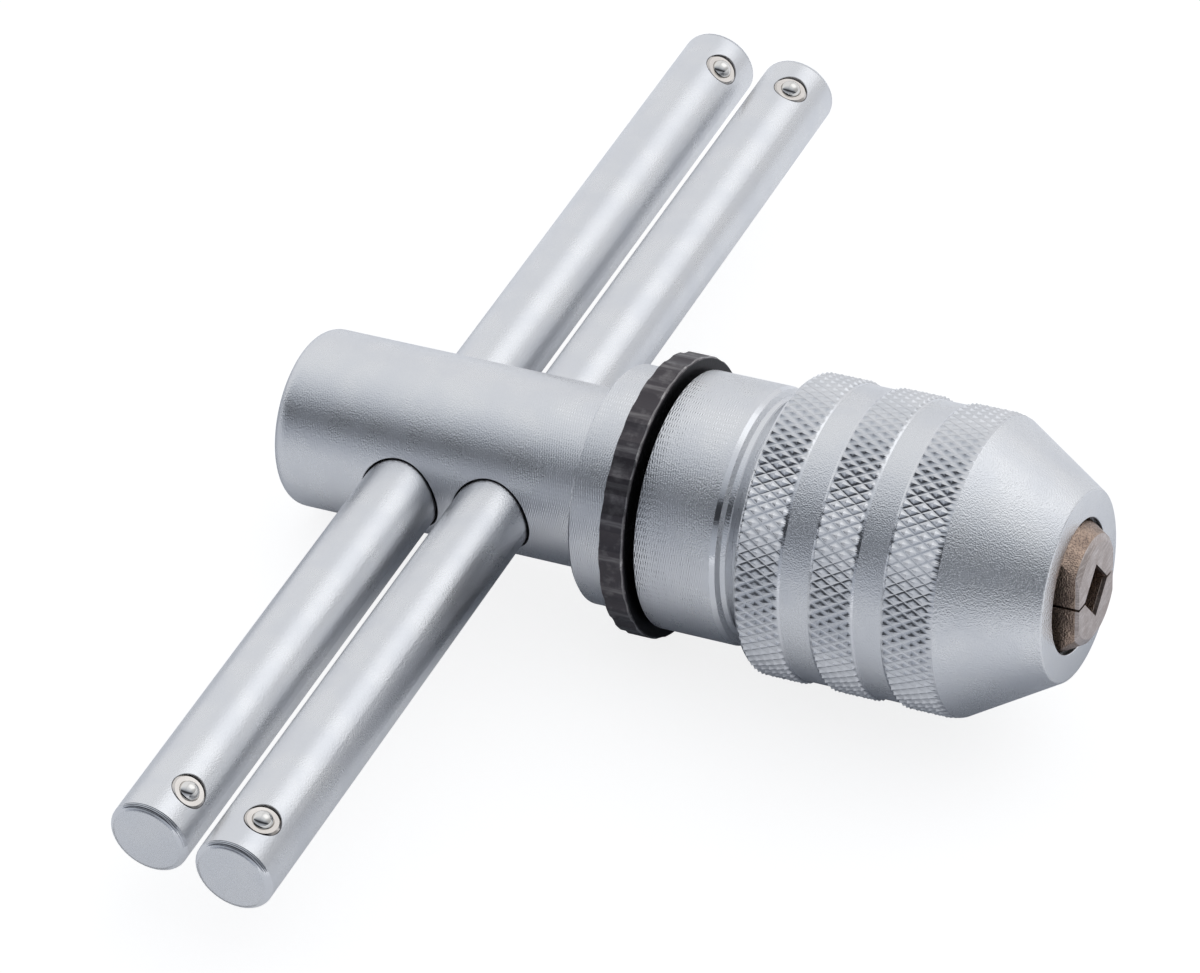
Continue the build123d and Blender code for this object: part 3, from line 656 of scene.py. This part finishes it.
def knurled_band(tree, start, end, front=None):
    """One knurled band in tool millimetres, with a plain ring on each side.

    The rings lie at start and at front, which is end where it isn't given."""
    knurl_end = (end - run_in - start - run_in) / half_diamond
    return run_tree(tree, {
        "Diamonds Round": diamonds_round, "Steps": steps, "Rows": ceil(knurl_end * steps),
        "Half Length": half_diamond, "Knurl End": knurl_end, "Start": start + run_in,
        "Crown Radius": sleeve_radius, "Depth": knurl_depth, "Sharpness": knurl_sharpness,
        "Foot Along": start, "Front Along": front or end, "End Radius": valley_radius})


def turned_surface(mesh, outline):
    """Add a surface turned from (along, radius) points to a mesh, in tool millimetres."""
    turns = [2 * pi * i / points_round for i in range(points_round)]
    rings = []
    for along, radius in outline:
        rings.append([mesh.verts.new((along, radius * cos(turn), radius * sin(turn))) for turn in turns])
    for ring, following in zip(rings, rings[1:]):
        for i in range(points_round):
            j = (i + 1) % points_round
            mesh.faces.new((ring[i], ring[j], following[j], following[i]))


def groove_outline(start, end):
    """A plain groove, from the foot of one bevel to the foot of the other."""
    return [(start - bevel, valley_radius), (start, groove_floor + corner_rise),
            (start + corner_width, groove_floor), (end - corner_width, groove_floor),
            (end, groove_floor + corner_rise), (end + bevel, valley_radius)]


def arc_points(centre, radius, start, end, count):
    """Points of an arc in the (along, radius) plane, by angles from the axis direction."""
    angles = [radians(start + (end - start) * i / count) for i in range(count + 1)]
    return [(centre[0] + radius * cos(a), centre[1] + radius * sin(a)) for a in angles]


def turned_edges(tree, place):
    """The bevels of the grooves and of the rear, and the nose's face, which the tool left bright."""
    edges = [between(tree, place["Along"], start, end, 0.05) for start, end in (
        (groove_1[0] - bevel, groove_1[0]), (groove_1[1], groove_1[1] + bevel),
        (groove_2[0] - bevel, groove_2[0]), (groove_2[1], groove_2[1] + bevel),
        (sleeve_rear, sleeve_rear + bevel))]
    face = ease(tree, place["Along"], nose_face - 0.06, nose_face - 0.02, 0.0, 0.35)
    return calc(tree, "MAXIMUM", calc(tree, "MULTIPLY", chain(tree, "MAXIMUM", edges), 0.8), face)


sleeve_chrome = satin_chrome("chromed sleeve", grain=0.24, grain_height=0.052, polish=turned_edges)
knurl_chrome = satin_chrome("knurled chrome", dull=(0.68, 0.69, 0.71), bright=(0.73, 0.735, 0.75),
                            roughness=(0.15, 0.19), grain=0.2, grain_height=0.006)
band_tree = knurl_tree(knurl_chrome)
bands = (knurled_band(band_tree, sleeve_rear + bevel, groove_1[0] - bevel),
         knurled_band(band_tree, groove_1[1] + bevel, groove_2[0] - bevel),
         knurled_band(band_tree, groove_2[1] + bevel, shoulder + knurl_overrun, shoulder_foot))
edge_centre = (nose_face - edge_radius, nose_radius - edge_radius + edge_lift)
nose_and_bore = (
    [(shoulder_foot, valley_radius), (shoulder_foot + foot_width, valley_radius - foot_width * nose_slope)]
    + arc_points(edge_centre, edge_radius, edge_turn, 0, 6)
    + [(nose_face, mouth_radius + mouth_bevel), (nose_face - mouth_bevel, mouth_radius),
       (seat_place, mouth_radius + mouth_depth * bore_slope), (seat_place, seat_radius),
       (thread_end, thread_radius), (sleeve_rear, thread_radius), (sleeve_rear, rear_radius),
       (sleeve_rear + bevel, valley_radius)])
shell = bmesh.new()
for band in bands:
    shell.from_mesh(band)
    bpy.data.meshes.remove(band)
for face in shell.faces:
    face.material_index = 1
for outline in (groove_outline(*groove_1), groove_outline(*groove_2), nose_and_bore):
    turned_surface(shell, outline)
bmesh.ops.remove_doubles(shell, verts=shell.verts, dist=same_point)
bmesh.ops.recalc_face_normals(shell, faces=shell.faces)
sleeve_mesh = bpy.data.meshes.new("knurled_sleeve")
shell.to_mesh(sleeve_mesh)
shell.free()
sleeve_mesh.transform(Matrix.Scale(mm, 4))
sleeve_mesh.transform(tool_to_row)
sleeve_mesh.shade_smooth()
sleeve_mesh.set_sharp_from_angle(angle=radians(22))
for chrome in (sleeve_chrome, knurl_chrome):
    sleeve_mesh.materials.append(chrome)
sleeve = bpy.data.objects.new("knurled_sleeve", sleeve_mesh)
bpy.context.scene.collection.objects.link(sleeve)
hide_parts("chuck_sleeve")
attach(sleeve, "sleeve")

# Table: wide and white, and even white to the camera. In the metal's reflections its light comes from
# in front, from behind and from beyond the nose, and it is dark right under the tool.
table_reach = 6.0
camera_glow = 0.83            # its own light, as the camera sees it
front_light = (-0.044, -0.018, 0.26, 0.0)     # places across the table in metres, then the light at them
rear_light = (0.0, 0.09, 0.0, 0.43)
nose_light = (0.066, 0.092, 0.0, 0.42)
beside_body = (-0.06, 0.0, -0.014, 0.0)       # places along the table, then how much nearer it starts there


def table_paint():
    """Matt white with its own light, by the kind of ray that meets it."""
    made = bpy.data.materials.new("studio floor")
    made.use_nodes = True
    tree = made.node_tree
    shader = tree.nodes["Principled BSDF"]
    shader.inputs["Roughness"].default_value = 1.0
    shader.inputs["Specular IOR Level"].default_value = 0.0
    shader.inputs["Emission Color"].default_value = (1, 1, 1, 1)
    rays = add_node(tree, "ShaderNodeLightPath").outputs
    on_table = split(tree, add_node(tree, "ShaderNodeTexCoord").outputs["Object"])
    in_front = calc(tree, "ADD", on_table["Y"], ease(tree, on_table["X"], *beside_body))
    reflected = chain(tree, "MAXIMUM", (
        ease(tree, in_front, *front_light), ease(tree, on_table["Y"], *rear_light),
        ease(tree, on_table["X"], *nose_light)))
    mirrored = calc(tree, "MAXIMUM", rays["Is Glossy Ray"], rays["Is Transmission Ray"])
    glow = calc(tree, "ADD", calc(tree, "MULTIPLY", rays["Is Camera Ray"], camera_glow),
                calc(tree, "MULTIPLY", mirrored, reflected))
    colour = blend_colours(tree, rays["Is Camera Ray"], (0.60, 0.62, 0.66), (0.34, 0.34, 0.34))
    tree.links.new(glow, shader.inputs["Emission Strength"])
    tree.links.new(colour, shader.inputs["Base Color"])
    return made


table_mesh = bpy.data.meshes.new("studio_floor")
corners = [(-table_reach, -table_reach, 0), (table_reach, -table_reach, 0), (table_reach, table_reach, 0),
           (-table_reach, table_reach, 0)]
table_mesh.from_pydata(corners, [], [(0, 1, 2, 3)])
table = bpy.data.objects.new("studio_floor", table_mesh)
bpy.context.scene.collection.objects.link(table)
dress(table, table_paint())

# Room: pale, brightest overhead and behind the tool, with a soft lamp over it. On the camera's side it is
# dark from 32 to 46 degrees up, which draws the dark bands along every round piece.
room = ((0, (0.49, 0.52, 0.58)), (14, (0.42, 0.45, 0.51)), (25, (0.27, 0.29, 0.33)),
        (32, (0.04, 0.043, 0.05)), (46, (0.04, 0.043, 0.05)), (53, (0.27, 0.29, 0.33)),
        (66, (0.50, 0.53, 0.58)), (80, (0.68, 0.71, 0.76)), (100, (0.84, 0.86, 0.89)),
        (180, (0.82, 0.83, 0.86)))
lamp_way = (0.33, 0.52, 0.79)


def room_light(tree):
    """The room's light by direction: bands by height, then the lamp, a dim seam and a dim right side."""
    way = add_node(tree, "ShaderNodeTexCoord").outputs["Generated"]
    across, away, upward = split(tree, way)
    # From 0 on the camera's side, over the top, to 180 degrees behind the tool
    over_the_top = calc(tree, "DIVIDE", calc(tree, "ARCTAN2", upward, calc(tree, "MULTIPLY", away, -1.0)), pi)
    ramp = add_node(tree, "ShaderNodeValToRGB", {"Fac": over_the_top})
    stops = ramp.color_ramp.elements
    while len(stops) < len(room):
        stops.new(0.5)
    for stop, (angle, colour) in zip(stops, room):
        stop.position = angle / 180
        stop.color = (*colour, 1)
    to_lamp = vector_sum(tree, "DOT_PRODUCT", {0: way, 1: Vector(lamp_way).normalized()})["Value"]
    lamp = ease(tree, to_lamp, 0.84, 0.99, 0.0, 0.42)
    from_seam = calc(tree, "ABSOLUTE", calc(tree, "ADD", across, 0.20))
    seam = ease(tree, from_seam, 0.02, 0.16, 0.10, 0.0)
    dim_side = ease(tree, across, 0.45, 1.0, 0.0, 0.50)
    level = calc(tree, "SUBTRACT", calc(tree, "ADD", 1.0, lamp), calc(tree, "ADD", seam, dim_side))
    return vector_sum(tree, "SCALE", {0: ramp.outputs["Color"], 3: level})[0]


world = bpy.data.worlds.new("studio")
bpy.context.scene.world = world
world.use_nodes = True
sky = world.node_tree
camera_ray = add_node(sky, "ShaderNodeLightPath").outputs["Is Camera Ray"]
seen = blend_colours(sky, camera_ray, room_light(sky), (1, 1, 1))
sky.nodes["Background"].inputs["Strength"].default_value = 1.0
sky.links.new(seen, sky.nodes["Background"].inputs["Color"])

# Camera: a long lens, placed and turned so that the pieces lie where the photograph shows them.
# It looks down on the tool from the front and the right, and leans by a third of a degree.
camera_data = bpy.data.cameras.new("camera")
camera_data.lens = 195.6
camera_data.sensor_width = 36
camera = bpy.data.objects.new("camera", camera_data)
camera.location = Vector((0.2860, -0.6476, 0.6604))
camera_back = Vector((0.3140, -0.6727, 0.6700)).normalized()
camera_roll = Quaternion((0, 0, 1), radians(0.35))
camera.rotation_euler = (camera_back.to_track_quat("Z", "Y") @ camera_roll).to_euler()
bpy.context.scene.collection.objects.link(camera)
bpy.context.scene.camera = camera
bpy.context.scene.view_settings.view_transform = "Standard"
